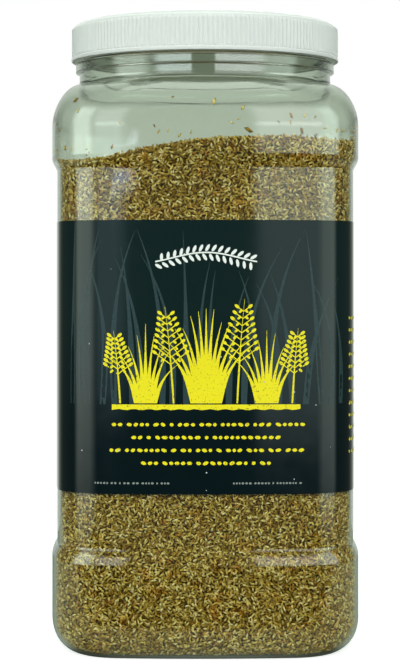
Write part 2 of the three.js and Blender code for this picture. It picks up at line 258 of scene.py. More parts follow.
# The table is white to the camera. What the jar reflects and lets through is grey-green
# cloth behind the jar's front, a painted shadow right under the jar, and a dark floor before it.
TABLE_HALF = 0.45
FRONT_EDGE = (-0.17, -0.09)
JAR_EDGE = (0.052, 0.066)
DARK_FLOOR = (0.012, 0.014, 0.012)
TABLE_CLOTH = (0.30, 0.35, 0.28)
SHADOW_UNDER_JAR = (0.050, 0.056, 0.042)
table_material, table_tree, table_surface, table_output = new_material("white table", {
    "Base Color": (0.9, 0.9, 0.9, 1), "Roughness": 0.9,
    "Emission Color": (1, 1, 1, 1), "Emission Strength": 0.6})
table_x, table_y, _ = place_on_piece(table_tree)
cloth_glow = mix_colors(table_tree, step_mask(table_tree, table_y, *FRONT_EDGE), DARK_FLOOR,
                        TABLE_CLOTH)
# Painted shadow: a dark patch on the table right under the jar's footprint.
far_out = calculate(table_tree, "MAXIMUM", calculate(table_tree, "ABSOLUTE", table_x),
                    calculate(table_tree, "ABSOLUTE", table_y))
cloth_glow = mix_colors(table_tree, step_mask(table_tree, far_out, *JAR_EDGE), SHADOW_UNDER_JAR,
                        cloth_glow)
dim_table = add_node(table_tree, "ShaderNodeEmission", {"Color": cloth_glow})
table_seen = add_node(table_tree, "ShaderNodeLightPath").outputs["Is Camera Ray"]
mix_shaders(table_tree, table_seen, dim_table, table_surface, table_output)
corners = [(-1, -1), (1, -1), (1, 1), (-1, 1)]
table = mesh_object("table", [(x * TABLE_HALF, y * TABLE_HALF, 0) for x, y in corners],
                    [(0, 1, 2, 3)])
table.data.materials.append(table_material)


# ---- Jar --------------------------------------------------------------------
# One blow-moulded shell of clear PET, a rounded square with a recessed panel for
# the label. Above the shoulder it turns into a round neck with a bead and a
# one-turn thread. The wall is a millimetre thick, and the bottom is dished.
TURN = 2 * math.pi
WALL = 1.0
BODY_HALF = 66.5
PANEL_HALF = 64.3
SIDE_RADIUS = 360.0
CORNER_CENTRE = 35.0
PUSH_UP = 6.0
PUSH_UP_SQUARENESS = 0.35
FOOT_INNER_HALF = 44.0
FOOT_FLAT_HALF = 52.5
FOOT_ROUND = 14.0
FOOT_BAND_TOP = 39.8
PANEL_BOTTOM = 46.4
PANEL_TOP = 204.4
SHOULDER_BAND_BOTTOM = 210.2
SHOULDER_BAND_TOP = 224.5
SHOULDER_TOP = 242.65
NECK_FOOT_RADIUS = 55.6
GROOVE_RADIUS = 55.0
BEAD_RADIUS = 56.6
BEAD_TOP = 252.95
FINISH_RADIUS = 53.4
BORE_RADIUS = 51.8
NECK_BORE = 53.5
RIM_HEIGHT = 267.5
THREAD_PITCH = 5.08
THREAD_HEIGHT = 1.6
THREAD_START = 258.2
THREAD_HALF = 1.2
THREAD_FLANK = 0.75
THREAD_LEAD = 0.07
SIDE_FALL = (1.8, 0.8)
DIAGONAL_FALL = (2.0, 0.6)
SHOULDER_STEPS = 18
SHOULDER_SINK = 0.7
JAR_COLUMNS = 224
CROWDING = 0.35
# The last row before a bend lies close to it, so that the flat wall reflects flatly.
LAST_ROW = 0.45
# Each run of the upright wall, from one height to another, with its rows' spacing.
WALL_RUNS = ((FOOT_ROUND + 2, FOOT_BAND_TOP - LAST_ROW, 6), (FOOT_BAND_TOP, PANEL_BOTTOM, 0.45),
             (PANEL_BOTTOM + LAST_ROW, PANEL_TOP - LAST_ROW, 12),
             (PANEL_TOP, SHOULDER_BAND_BOTTOM, 0.5))


def smooth_step(value, start, end):
    share = min(1.0, max(0.0, (value - start) / (end - start)))
    return share * share * (3 - 2 * share)


def swelling_step(value, start, end, crest=0.85):
    """From 0 to 1, steeper and steeper up to the crest, and then quickly level."""
    share = min(1.0, max(0.0, (value - start) / (end - start)))
    if share < crest:
        return share * share / crest
    return 1 - (1 - share) ** 2 / (1 - crest)


def square_radius(half, corner, angle):
    """How far a rounded square with slightly bowed sides reaches at an angle."""
    x, y = abs(math.cos(angle)), abs(math.sin(angle))
    out, aside = max(x, y), min(x, y)
    centre = half - corner
    side_centre = half - SIDE_RADIUS
    reach = side_centre * out + math.sqrt(SIDE_RADIUS ** 2 - (side_centre * aside) ** 2)
    if reach * aside * (centre - side_centre) <= centre * (reach * out - side_centre):
        return reach
    corner_radius = SIDE_RADIUS - math.hypot(centre - side_centre, centre)
    along = (x + y) * centre
    return along + math.sqrt(along * along - 2 * centre * centre + corner_radius ** 2)


def crowded_angles(columns):
    """Angles round the jar, closer together at the corners than along the sides."""
    even = [TURN * i / columns for i in range(columns)]
    return [angle + CROWDING * math.sin(4 * angle) / 4 for angle in even]


def body_half(height, inset):
    if height < FOOT_ROUND:
        reach = (FOOT_ROUND - inset) ** 2 - (FOOT_ROUND - height) ** 2
        return FOOT_FLAT_HALF + math.sqrt(max(0.0, reach))
    above_foot = swelling_step(height, FOOT_BAND_TOP, PANEL_BOTTOM)
    below_shoulder = 1 - smooth_step(height, PANEL_TOP, SHOULDER_BAND_BOTTOM)
    return BODY_HALF - (BODY_HALF - PANEL_HALF) * above_foot * below_shoulder - inset


def body_row(height, inset):
    half = body_half(height, inset)
    return half, half - CORNER_CENTRE, height


def bottom_rows(inset, steps):
    rows = []
    for i in range(steps + 1):
        share = i / steps
        half = share * FOOT_INNER_HALF
        rows.append((half, PUSH_UP_SQUARENESS * half, PUSH_UP * (1 - share * share) + inset))
    return rows


def foot_rows(inset, steps):
    rows = []
    for i in range(steps + 1):
        turn = (i / steps) * TURN / 4
        rows.append(body_row(FOOT_ROUND - (FOOT_ROUND - inset) * math.cos(turn), inset))
    return rows


def shoulder_row(share, inset):
    """A row of the shoulder: the sides and the diagonals each fall to the neck in a curve."""
    def reach(start, fall):
        return NECK_FOOT_RADIUS + (start - NECK_FOOT_RADIUS) * (1 - share ** fall[0]) ** fall[1]

    half = reach(BODY_HALF, SIDE_FALL)
    body_diagonal = CORNER_CENTRE * math.sqrt(2) + BODY_HALF - CORNER_CENTRE
    diagonal = reach(body_diagonal, DIAGONAL_FALL)
    corner = (math.sqrt(2) * half - diagonal) / (math.sqrt(2) - 1)
    height = SHOULDER_BAND_TOP + (SHOULDER_TOP - SHOULDER_BAND_TOP) * share
    return half - inset, corner - inset, height - SHOULDER_SINK * inset


def ring_points(row, angles):
    half, corner, height = row
    points = []
    for angle in angles:
        radius = square_radius(half, corner, angle) * MM
        points.append((radius * math.cos(angle), radius * math.sin(angle), height * MM))
    return points


def loft_mesh(name, rings):
    """Skin rings of equally many points. A ring of one point is a pole."""
    vertices, faces, starts = [], [], []
    for ring in rings:
        starts.append(len(vertices))
        vertices.extend(ring)
    for r in range(len(rings) - 1):
        n, m = len(rings[r]), len(rings[r + 1])
        a, b = starts[r], starts[r + 1]
        for i in range(max(n, m)):
            j = (i + 1) % max(n, m)
            if n == 1:
                faces.append((a, b + j, b + i))
            elif m == 1:
                faces.append((a + i, a + j, b))
            else:
                faces.append((a + i, a + j, b + j, b + i))
    return mesh_object(name, vertices, faces)


def heights(start, end, step):
    count = max(1, round(abs(end - start) / step))
    return [start + (end - start) * i / count for i in range(count + 1)]


def arc_rows(centre_radius, centre_height, radius, first, last, steps):
    """Rows of a round edge about the jar's axis, from one angle to another."""
    rows = []
    for i in range(steps + 1):
        turn = math.radians(first + (last - first) * i / steps)
        reach = centre_radius + radius * math.cos(turn)
        rows.append((reach, reach, centre_height + radius * math.sin(turn)))
    return rows


def thread_bump(height, angle):
    """How far the one-turn ridge stands out here, from 0 to 1."""
    turn = ((angle - TURN / 4) % TURN) / TURN
    middle = THREAD_START + THREAD_PITCH * turn
    lead = min(1.0, turn / THREAD_LEAD, (1 - turn) / THREAD_LEAD)
    return smooth_step(THREAD_HALF - abs(height - middle), 0, THREAD_FLANK) * max(0.0, lead)


def wall_rows(inset, foot_steps):
    """One face of the wall, from the middle of the bottom to the end of the shoulder."""
    rows = bottom_rows(inset, 14) + foot_rows(inset, foot_steps)
    for start, end, spacing in WALL_RUNS:
        rows += [body_row(z, inset) for z in heights(start, end, spacing)]
    rows += [body_row(z, inset) for z in heights(SHOULDER_BAND_BOTTOM, SHOULDER_BAND_TOP, 4)[1:]]
    for i in range(1, SHOULDER_STEPS + 1):
        rows.append(shoulder_row(math.sin(TURN / 4 * i / SHOULDER_STEPS), inset))
    return rows


# Radius and height of each row up the neck: the groove above the shoulder, the bead,
# and the step in to the threaded finish. Inside, the bore narrows behind the bead.
NECK_PROFILE = ((55.45, 243.00), (55.28, 243.40), (55.13, 243.85), (55.03, 244.4),
                (GROOVE_RADIUS, 244.95), (GROOVE_RADIUS, 245.2), (GROOVE_RADIUS, 246.4),
                (GROOVE_RADIUS, 247.9), (GROOVE_RADIUS, 248.15), (55.10, 248.25),
                (55.50, 248.35), (56.10, 248.45), (56.45, 248.53), (56.57, 248.65),
                (BEAD_RADIUS, 248.85), (BEAD_RADIUS, 249.2), (BEAD_RADIUS, 250.5),
                (BEAD_RADIUS, 252.1), (BEAD_RADIUS, 252.35), (56.54, 252.52),
                (56.30, 252.75), (55.90, BEAD_TOP), (54.40, BEAD_TOP + 0.04),
                (53.70, BEAD_TOP + 0.1))
INSIDE_NECK = ((54.35, 242.4), (54.05, 242.85), (53.80, 243.35), (53.62, 243.85),
               (53.52, 244.35), (NECK_BORE, 244.9), (NECK_BORE, 245.4), (NECK_BORE, 247.0),
               (NECK_BORE, 249.5), (NECK_BORE, 251.9), (NECK_BORE, 252.1), (53.40, 252.4),
               (53.10, 252.8), (52.6, 253.2), (52.2, 253.8), (51.9, 254.5),
               (BORE_RADIUS, 255.2), (BORE_RADIUS, 261), (BORE_RADIUS, RIM_HEIGHT - 0.4))
RIM_ROUND = 0.8
jar_angles = crowded_angles(JAR_COLUMNS)
outside_rows = wall_rows(0, 14) + [(radius, radius, z) for radius, z in NECK_PROFILE]
neck_rows = [(FINISH_RADIUS, FINISH_RADIUS, z) for z in heights(BEAD_TOP + 0.5, 266.5, 0.4)]
rim_rows = arc_rows(FINISH_RADIUS - RIM_ROUND, RIM_HEIGHT - RIM_ROUND, RIM_ROUND, 20, 90, 4)
inside_rows = wall_rows(WALL, 12) + [(radius, radius, z) for radius, z in INSIDE_NECK]


def jar_ring(row, angles=jar_angles):
    if row[0] == 0:
        return [(0, 0, row[2] * MM)]
    return ring_points(row, angles)


def threaded_ring(row, angles, ridge, drop=0.0):
    """A round row with a thread's ridge on it. A drop lowers the thread."""
    points = []
    for angle in angles:
        radius = (row[0] + ridge * thread_bump(row[2] + drop, angle)) * MM
        points.append((radius * math.cos(angle), radius * math.sin(angle), row[2] * MM))
    return points


jar_rings = [jar_ring(row) for row in outside_rows]
jar_rings += [threaded_ring(row, jar_angles, THREAD_HEIGHT) for row in neck_rows]
jar_rings += [jar_ring(row) for row in rim_rows]
jar_rings += [jar_ring(row) for row in reversed(inside_rows)]
jar = loft_mesh("clear_jar", jar_rings)


def open_group(name, kind, takes, gives):
    """A node group with these sockets: its tree, what enters it, and its last node."""
    group = bpy.data.node_groups.new(name, kind)
    for way, sockets in (("INPUT", takes), ("OUTPUT", gives)):
        for socket, sort in sockets.items():
            group.interface.new_socket(socket, in_out=way, socket_type="NodeSocket" + sort)
    return group, group.nodes.new("NodeGroupInput").outputs, group.nodes.new("NodeGroupOutput")


def mottle_group():
    """Soft patches through a piece, as a mask. Scale is how many of them fit in a metre."""
    group, enter, leave = open_group(
        "mottle", "ShaderNodeTree",
        {"Scale": "Float", "Detail": "Float", "Roughness": "Float", "Stretch": "Vector"},
        {"Mask": "Float"})
    place = add_node(group, "ShaderNodeTexCoord").outputs["Object"]
    stretched = add_node(group, "ShaderNodeMapping", {"Vector": place, "Scale": enter["Stretch"]})
    noise = add_node(group, "ShaderNodeTexNoise",
                     {"Vector": stretched.outputs[0], "Scale": enter["Scale"],
                      "Detail": enter["Detail"], "Roughness": enter["Roughness"]})
    group.links.new(noise.outputs["Fac"], leave.inputs["Mask"])
    return group


mottle = mottle_group()


def mottle_mask(tree, scale, detail=2.0, roughness=0.5, stretch=(1, 1, 1)):
    return add_node(tree, "ShaderNodeGroup",
                    {"Scale": scale, "Detail": detail, "Roughness": roughness,
                     "Stretch": stretch}, node_tree=mottle).outputs["Mask"]


def bump_from(tree, height, strength, distance, surface):
    bump = add_node(tree, "ShaderNodeBump",
                    {"Height": height, "Strength": strength, "Distance": distance})
    tree.links.new(bump.outputs[0], surface.inputs["Normal"])


# Faintly grey-green PET. Blowing left slow waves in the body's wall, but not in the
# neck, which was moulded. Shadow rays pass the wall, so that light reaches the seed.
pet, pet_tree, pet_surface, pet_output = new_material("clear PET", {
    "Base Color": (0.86, 0.90, 0.84, 1), "IOR": 1.575, "Transmission Weight": 1.0})
BLOWN_TO = (0.226, 0.242)
_, _, pet_height = place_on_piece(pet_tree)
blown = calculate(pet_tree, "SUBTRACT", 1.0, step_mask(pet_tree, pet_height, *BLOWN_TO))
slow_waves = mottle_mask(pet_tree, 26, 1.5, stretch=(1, 1, 0.35))
bump_from(pet_tree, calculate(pet_tree, "MULTIPLY", slow_waves, blown), 0.10, 0.0012, pet_surface)
haze = add_node(pet_tree, "ShaderNodeMapRange", {
    "Value": mottle_mask(pet_tree, 90, 4), "From Min": 0.3, "From Max": 0.8,
    "To Min": 0.015, "To Max": 0.07})
pet_tree.links.new(haze.outputs["Result"], pet_surface.inputs["Roughness"])
clear_way = add_node(pet_tree, "ShaderNodeBsdfTransparent", {"Color": (0.95, 0.97, 0.94, 1)})
shadow_ray = add_node(pet_tree, "ShaderNodeLightPath").outputs["Is Shadow Ray"]
mix_shaders(pet_tree, shadow_ray, pet_surface, clear_way, pet_output)
jar.data.materials.append(pet)
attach(jar, "filled_jar")
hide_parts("jar")


# ---- Seed fill --------------------------------------------------------------
# Loose switchgrass seed, poured in and settled: smooth pointed husks about three
# millimetres long, in tans, olives and browns. A core painted dark in shade stands for the
# shadowed depth of the heap, and husks lie against the wall, over the top and on the bottom.
SEED_LENGTH = 2.45
SEED_WIDTH = 0.98
FILL_LEVEL = 214.0
SLOPE_RISE = 3.6
SLOPE_MIDDLE = -18
SLOPE_REACH = 26
# Depth, then middle and reach from left to right, then middle and reach front to back.
LEFT_HOLLOW = (3.6, -54, 24, -62, 30)
RIGHT_DIP = (1.6, 60, 16, -62, 40)
LABEL_BOTTOM = 69.5
LABEL_TOP = 182.6
BEHIND_LABEL = 4.0
EDGE_HEIGHT = 200
CORE_INSET = 3.4
CORE_OVER_BOTTOM = 2.2
CORE_UNDER_TOP = 2.0


def dip(x, y, depth, middle_x, reach_x, middle_y, reach_y):
    return depth * math.exp(-(((x - middle_x) / reach_x) ** 2) - ((y - middle_y) / reach_y) ** 2)


def fill_level(x, y):
    """The heap's top: it slopes up to the right and dips at both front corners."""
    slope = SLOPE_RISE * math.tanh((x - SLOPE_MIDDLE) / SLOPE_REACH)
    return FILL_LEVEL + slope - dip(x, y, *LEFT_HOLLOW) - dip(x, y, *RIGHT_DIP)


def wall_point(angle, height, inset):
    half, corner, _ = body_row(height, inset)
    radius = square_radius(half, corner, angle)
    return radius * math.cos(angle), radius * math.sin(angle)


def edge_level(angle, inset):
    return fill_level(*wall_point(angle, EDGE_HEIGHT, inset))


def rising_row(angles, share, inset, bottom, under=0.0):
    """A row this share of the way up from a height to the heap's edge, or to under it."""
    row = []
    for angle in angles:
        z = bottom + (edge_level(angle, inset) - under - bottom) * share
        x, y = wall_point(angle, z, inset)
        row.append((x * MM, y * MM, z * MM))
    return row


core_angles = crowded_angles(96)
core_rings = [jar_ring(row, core_angles) for row in bottom_rows(WALL + CORE_OVER_BOTTOM, 6)]
core_rings += [jar_ring(row, core_angles) for row in foot_rows(CORE_INSET, 5)]
for z in heights(FOOT_ROUND + 4, LABEL_TOP, 8):
    core_rings.append(jar_ring(body_row(z, CORE_INSET), core_angles))
for share in (0.25, 0.5, 0.75, 1.0):
    core_rings.append(rising_row(core_angles, share, CORE_INSET, LABEL_TOP, CORE_UNDER_TOP))
core_edge = core_rings[-1]
for share in (0.8, 0.6, 0.4, 0.2):
    ring = []
    for x, y, _ in core_edge:
        z = fill_level(x * share / MM, y * share / MM) - CORE_UNDER_TOP
        ring.append((x * share, y * share, z * MM))
    core_rings.append(ring)
core_rings.append([(0, 0, (fill_level(0, 0) - CORE_UNDER_TOP) * MM)])
core = loft_mesh("seed_core", core_rings)
core_material, core_tree, core_surface, _ = new_material("painted shade of seed deep in the heap",
                                                         {"Roughness": 0.8})
# Painted shade: the core is dark brown, each grain's cell lighter in its middle and darker at its
# edges.
grain_cells = add_node(core_tree, "ShaderNodeTexVoronoi", {
    "Vector": add_node(core_tree, "ShaderNodeTexCoord").outputs["Object"],
    "Scale": 480, "Randomness": 1.0})
core_shade_ramp = add_node(core_tree, "ShaderNodeValToRGB", {0: grain_cells.outputs["Distance"]})
core_shade_ramp.color_ramp.elements[0].color = (0.15, 0.100, 0.006, 1)
core_shade_ramp.color_ramp.elements[1].color = (0.06, 0.034, 0.003, 1)
core_shade_ramp.color_ramp.elements[1].position = 0.75
core_tree.links.new(core_shade_ramp.outputs[0], core_surface.inputs["Base Color"])
core.data.materials.append(core_material)
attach(core, "filled_jar")
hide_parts("seed_fill")

# One husk: a plump spindle of two three-sided rings between two points.
HUSK_REACH = (0.56 * SEED_WIDTH, 0.50 * SEED_WIDTH)
husk_vertices = [(-SEED_LENGTH / 2 * MM, 0, 0)]
for x, width, turned in ((-0.20, 1.0, 0.0), (0.20, 0.92, TURN / 6)):
    for corner in range(3):
        turn = TURN * corner / 3 + turned
        husk_vertices.append((x * SEED_LENGTH * MM,
                              width * HUSK_REACH[0] * math.cos(turn) * MM,
                              width * HUSK_REACH[1] * math.sin(turn) * MM))
husk_vertices.append((SEED_LENGTH / 2 * MM, 0, 0))
husk_faces = []
for corner in range(3):
    after = (corner + 1) % 3
    husk_faces.append((0, 1 + after, 1 + corner))
    husk_faces.append((1 + corner, 1 + after, 4 + corner))
    husk_faces.append((1 + after, 4 + after, 4 + corner))
    husk_faces.append((4 + corner, 4 + after, 7))
husk = mesh_object("husk", husk_vertices, husk_faces)
husk.hide_render = True

# Each husk has its own shade, from dark olive to straw and rust. Streaks run through it, patches
# of the heap are rusty, and husks that lie deeper are painted darker, painted shade for the husks
# above them.
seed_material, seed_tree, seed_surface, _ = new_material(
    "switchgrass husk", {"Roughness": 0.48, "Specular IOR Level": 0.28})
shade = add_node(seed_tree, "ShaderNodeAttribute", attribute_name="shade").outputs["Fac"]
seed_ramp = add_node(seed_tree, "ShaderNodeValToRGB", {0: shade})
SEED_COLORS = ((0.0, (0.230, 0.130, 0.012)), (0.15, (0.390, 0.240, 0.028)),
               (0.40, (0.650, 0.465, 0.098)), (0.66, (0.800, 0.615, 0.210)),
               (0.84, (0.820, 0.680, 0.300)), (0.92, (0.840, 0.740, 0.400)),
               (0.95, (0.540, 0.220, 0.030)), (1.0, (0.420, 0.350, 0.060)))
while len(seed_ramp.color_ramp.elements) < len(SEED_COLORS):
    seed_ramp.color_ramp.elements.new(0.5)
for element, (position, color) in zip(seed_ramp.color_ramp.elements, SEED_COLORS):
    element.position = position
    element.color = (*color, 1)
STREAK_COLOR = (0.30, 0.24, 0.10)
RUST_COLOR = (1.02, 0.80, 0.50)
DEPTH_SHADE_COLOR = (0.36, 0.27, 0.07)
streaks = mix_colors(seed_tree, mottle_mask(seed_tree, 2600, 2), STREAK_COLOR, (1, 1, 1))
streaky = mix_colors(seed_tree, 0.25, seed_ramp.outputs[0], streaks, "MULTIPLY")
rusty = step_mask(seed_tree, mottle_mask(seed_tree, 150, 2), 0.52, 0.80)
weathered = mix_colors(seed_tree, rusty, streaky,
                       mix_colors(seed_tree, 1.0, streaky, RUST_COLOR, "MULTIPLY"))
# Painted shade: the deeper a husk lies, the more its colour is darkened towards the depth shade
# colour.
sunk = add_node(seed_tree, "ShaderNodeAttribute", attribute_name="sunk").outputs["Fac"]
painted_depth_shade = mix_colors(seed_tree, 1.0, weathered, DEPTH_SHADE_COLOR, "MULTIPLY")
seed_tree.links.new(mix_colors(seed_tree, sunk, weathered, painted_depth_shade),
                    seed_surface.inputs["Base Color"])


HUSK_ROLL = 1.2
HUSK_DENSITY = 4e6


def scatter_tree():
    """Husks strewn over a sheet, each sunk, turned and sized at random."""
    tree, enter, leave = open_group(
        "strewn husks", "GeometryNodeTree",
        {"Geometry": "Geometry", "Husk": "Object", "Spacing": "Float", "Density": "Float",
         "Depth": "Float", "Tilt": "Float", "Level Turn": "Float", "Seed": "Int",
         "Finish": "Material"},
        {"Geometry": "Geometry"})

    def random_value(low, high, salt):
        """A random number for each husk. The salt keeps one number apart from another."""
        return add_node(tree, "FunctionNodeRandomValue",
                        {2: low, 3: high, "Seed": calculate(tree, "ADD", enter["Seed"], salt)},
                        data_type="FLOAT").outputs[1]

    def times(a, b):
        return calculate(tree, "MULTIPLY", a, b)

    points = add_node(tree, "GeometryNodeDistributePointsOnFaces",
                      {"Mesh": enter["Geometry"], "Distance Min": enter["Spacing"],
                       "Density Max": enter["Density"], "Seed": enter["Seed"]},
                      distribute_method="POISSON")
    normal = points.outputs["Normal"]
    depth_share = random_value(-1, 0, 11)
    sink = add_node(tree, "ShaderNodeVectorMath",
                    {0: normal, "Scale": times(enter["Depth"], depth_share)},
                    operation="SCALE").outputs[0]
    moved = add_node(tree, "GeometryNodeSetPosition",
                     {"Geometry": points.outputs["Points"], "Offset": sink})
    shaded = add_node(tree, "GeometryNodeStoreNamedAttribute",
                      {"Geometry": moved.outputs[0], "Name": "shade",
                       "Value": random_value(0, 1, 23)},
                      data_type="FLOAT", domain="POINT")
    # The depth is kept as "sunk", which darkens the husk's colour as painted shade.
    sunken = add_node(tree, "GeometryNodeStoreNamedAttribute",
                      {"Geometry": shaded.outputs[0], "Name": "sunk",
                       "Value": times(depth_share, -1.0)},
                      data_type="FLOAT", domain="POINT")
    outward = add_node(tree, "FunctionNodeAlignRotationToVector", {"Vector": normal},
                       axis="Z")
    across = add_node(tree, "ShaderNodeVectorMath", {0: (0, 0, 1), 1: normal},
                      operation="CROSS_PRODUCT").outputs[0]
    level = add_node(tree, "FunctionNodeAlignRotationToVector",
                     {"Rotation": outward.outputs[0], "Vector": across},
                     axis="X", pivot_axis="Z")
    spread = calculate(tree, "ADD", random_value(-1, 1, 31), random_value(-1, 1, 37))
    turn = add_node(tree, "ShaderNodeCombineXYZ",
                    {"X": times(random_value(-1, 1, 41), HUSK_ROLL),
                     "Y": times(random_value(-1, 1, 43), enter["Tilt"]),
                     "Z": times(spread, enter["Level Turn"])})
    lying = add_node(tree, "FunctionNodeRotateRotation",
                     {"Rotation": level.outputs[0], "Rotate By": turn.outputs[0]},
                     rotation_space="LOCAL")
    size = add_node(tree, "ShaderNodeCombineXYZ",
                    {"X": random_value(0.80, 1.15, 53), "Y": random_value(0.8, 1.15, 59),
                     "Z": random_value(0.8, 1.1, 61)})
    husk_info = add_node(tree, "GeometryNodeObjectInfo", {"Object": enter["Husk"]},
                         transform_space="ORIGINAL")
    strewn = add_node(tree, "GeometryNodeInstanceOnPoints",
                      {"Points": sunken.outputs[0], "Instance": husk_info.outputs["Geometry"],
                       "Rotation": lying.outputs[0], "Scale": size.outputs[0]})
    real = add_node(tree, "GeometryNodeRealizeInstances", {"Geometry": strewn.outputs[0]})
    finished = add_node(tree, "GeometryNodeSetMaterial",
                        {"Geometry": real.outputs[0], "Material": enter["Finish"]})
    tree.links.new(finished.outputs[0], leave.inputs["Geometry"])
    return tree


husks_on_sheet = scatter_tree()


def apply_tree(name, sheet, tree, values):
    """Run a node tree on a sheet and keep the result as a plain mesh piece."""
    modifier = sheet.modifiers.new("maker", "NODES")
    modifier.node_group = tree
    for item in tree.interface.items_tree:
        if item.item_type == "SOCKET" and item.name in values:
            modifier[item.identifier] = values[item.name]
    bpy.context.view_layer.update()
    ready = sheet.evaluated_get(bpy.context.evaluated_depsgraph_get())
    made = bpy.data.meshes.new_from_object(ready)
    sheet.modifiers.remove(modifier)
    made.name = name
    made.materials.clear()
    made.materials.append(values["Finish"])
    made.polygons.foreach_set("material_index", [0] * len(made.polygons))
    piece = bpy.data.objects.new(name, made)
    scene.collection.objects.link(piece)
    bpy.data.objects.remove(sheet)
    return piece


def strew(name, sheet, spacing, depth, tilt, level_turn, seed):
    """Cover a sheet with husks: spacing and depth in millimetres, turns in radians."""
    piece = apply_tree(name, sheet, husks_on_sheet,
                       {"Husk": husk, "Spacing": spacing * MM, "Density": HUSK_DENSITY,
                        "Depth": depth * MM, "Tilt": tilt, "Level Turn": level_turn,
                        "Seed": seed, "Finish": seed_material})
    piece.data.shade_smooth()
    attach(piece, "filled_jar")
    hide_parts("seed_fill")


# Sheets just inside the wall, a quarter of the way round each, below the label
# and above it, carry the husks that show. The label hides the rest.
SKIN_INSET = WALL + 0.65
SHEET_COLUMNS = 48
UPPER_ROWS = 8


def grid_strip(vertices, faces, rows):
    """Add rows of equally many points to a sheet, joined by faces."""
    base, width = len(vertices), len(rows[0])
    for row in rows:
        vertices.extend(row)
    for r in range(len(rows) - 1):
        for i in range(width - 1):
            a = base + r * width + i
            faces.append((a, a + 1, a + width + 1, a + width))


lower_heights = [row[2] for row in foot_rows(SKIN_INSET, 6)]
lower_heights += heights(FOOT_ROUND + 3, LABEL_BOTTOM + BEHIND_LABEL, 3)
for number, side in enumerate(("right", "back", "left", "front")):
    first = TURN * (number - 0.5) / 4
    angles = [first + TURN / 4 * i / SHEET_COLUMNS for i in range(SHEET_COLUMNS + 1)]
    vertices, faces = [], []
    grid_strip(vertices, faces, [ring_points(body_row(z, SKIN_INSET), angles)
                                 for z in lower_heights])
    grid_strip(vertices, faces, [rising_row(angles, i / UPPER_ROWS, SKIN_INSET,
                                            LABEL_TOP - BEHIND_LABEL)
                                 for i in range(UPPER_ROWS + 1)])
    sheet = mesh_object("sheet", vertices, faces)
    strew(f"seed_{side}", sheet, spacing=0.74, depth=1.0, tilt=0.22, level_turn=1.57,
          seed=10 + number)

TOP_RINGS = 13
top_rings = []
for i in range(TOP_RINGS):
    share = 1 - i / TOP_RINGS
    ring = []
    for angle in crowded_angles(72):
        x, y = wall_point(angle, EDGE_HEIGHT, SKIN_INSET)
        ring.append((x * share * MM, y * share * MM, fill_level(x * share, y * share) * MM))
    top_rings.append(ring)
top_rings.append([(0, 0, fill_level(0, 0) * MM)])
strew("seed_top", loft_mesh("sheet", top_rings), spacing=1.08, depth=1.2, tilt=0.35,
      level_turn=3.0, seed=31)

bottom_rings = [jar_ring(row, core_angles) for row in reversed(bottom_rows(WALL + 0.9, 10))]
strew("seed_bottom", loft_mesh("sheet", bottom_rings), spacing=1.1, depth=0.8, tilt=0.2,
      level_turn=3.0, seed=37)

# A few husks cling by static to the clear wall above the heap: each has a place across
# the front and a height, a turn in degrees, a size and a shade. More are strewn at random.
CLINGING = ((3.3, 231.3, 78, 1.60, 0.72), (15.3, 228.8, 62, 1.25, 0.68),
            (10.3, 222.6, -15, 1.0, 0.88), (13.6, 224.2, 40, 0.8, 0.80),
            (17.6, 219.6, -24, 1.80, 0.05), (35.3, 225.6, -62, 1.15, 0.14),
            (35.0, 222.8, -75, 0.9, 0.28), (39.7, 219.3, -70, 1.35, 0.04),
            (41.0, 225.8, 72, 1.0, 0.62), (49.4, 220.6, 20, 0.9, 0.30),
            (54.4, 220.0, 65, 1.1, 0.22), (-11.0, 217.4, 60, 1.0, 0.36),
            (-6.2, 218.8, 85, 0.8, 0.45), (-39.0, 212.8, 80, 1.0, 0.20),
            (-54.4, 232.6, 50, 1.25, 0.10), (-58.6, 213.0, 70, 1.1, 0.25),
            (-53.0, 228.0, 60, 0.9, 0.30), (36.5, 217.8, 20, 0.9, 0.75))
STRAY_HUSKS = 34
STRAY_SPREAD = 7
STRAY_CLEARANCE = 1.2
UNDER_SHOULDER = 8
CLING_INSET = WALL + 0.45


def upper_wall_point(angle, z, inset):
    """A point inside the shoulder band or the shoulder, in plan and height."""
    share = (z + SHOULDER_SINK * inset - SHOULDER_BAND_TOP) / (SHOULDER_TOP - SHOULDER_BAND_TOP)
    row = shoulder_row(share, inset) if share > 0 else body_row(z, inset)
    radius = square_radius(row[0], row[1], angle)
    return Vector((radius * math.cos(angle), radius * math.sin(angle), z)) * MM


def front_angle(across, z):
    """The angle at which the front wall is this far across, found by halving."""
    low, high = -math.pi, 0.0
    for _ in range(30):
        middle = (low + high) / 2
        if upper_wall_point(middle, z, WALL).x < across * MM:
            low = middle
        else:
            high = middle
    return (low + high) / 2


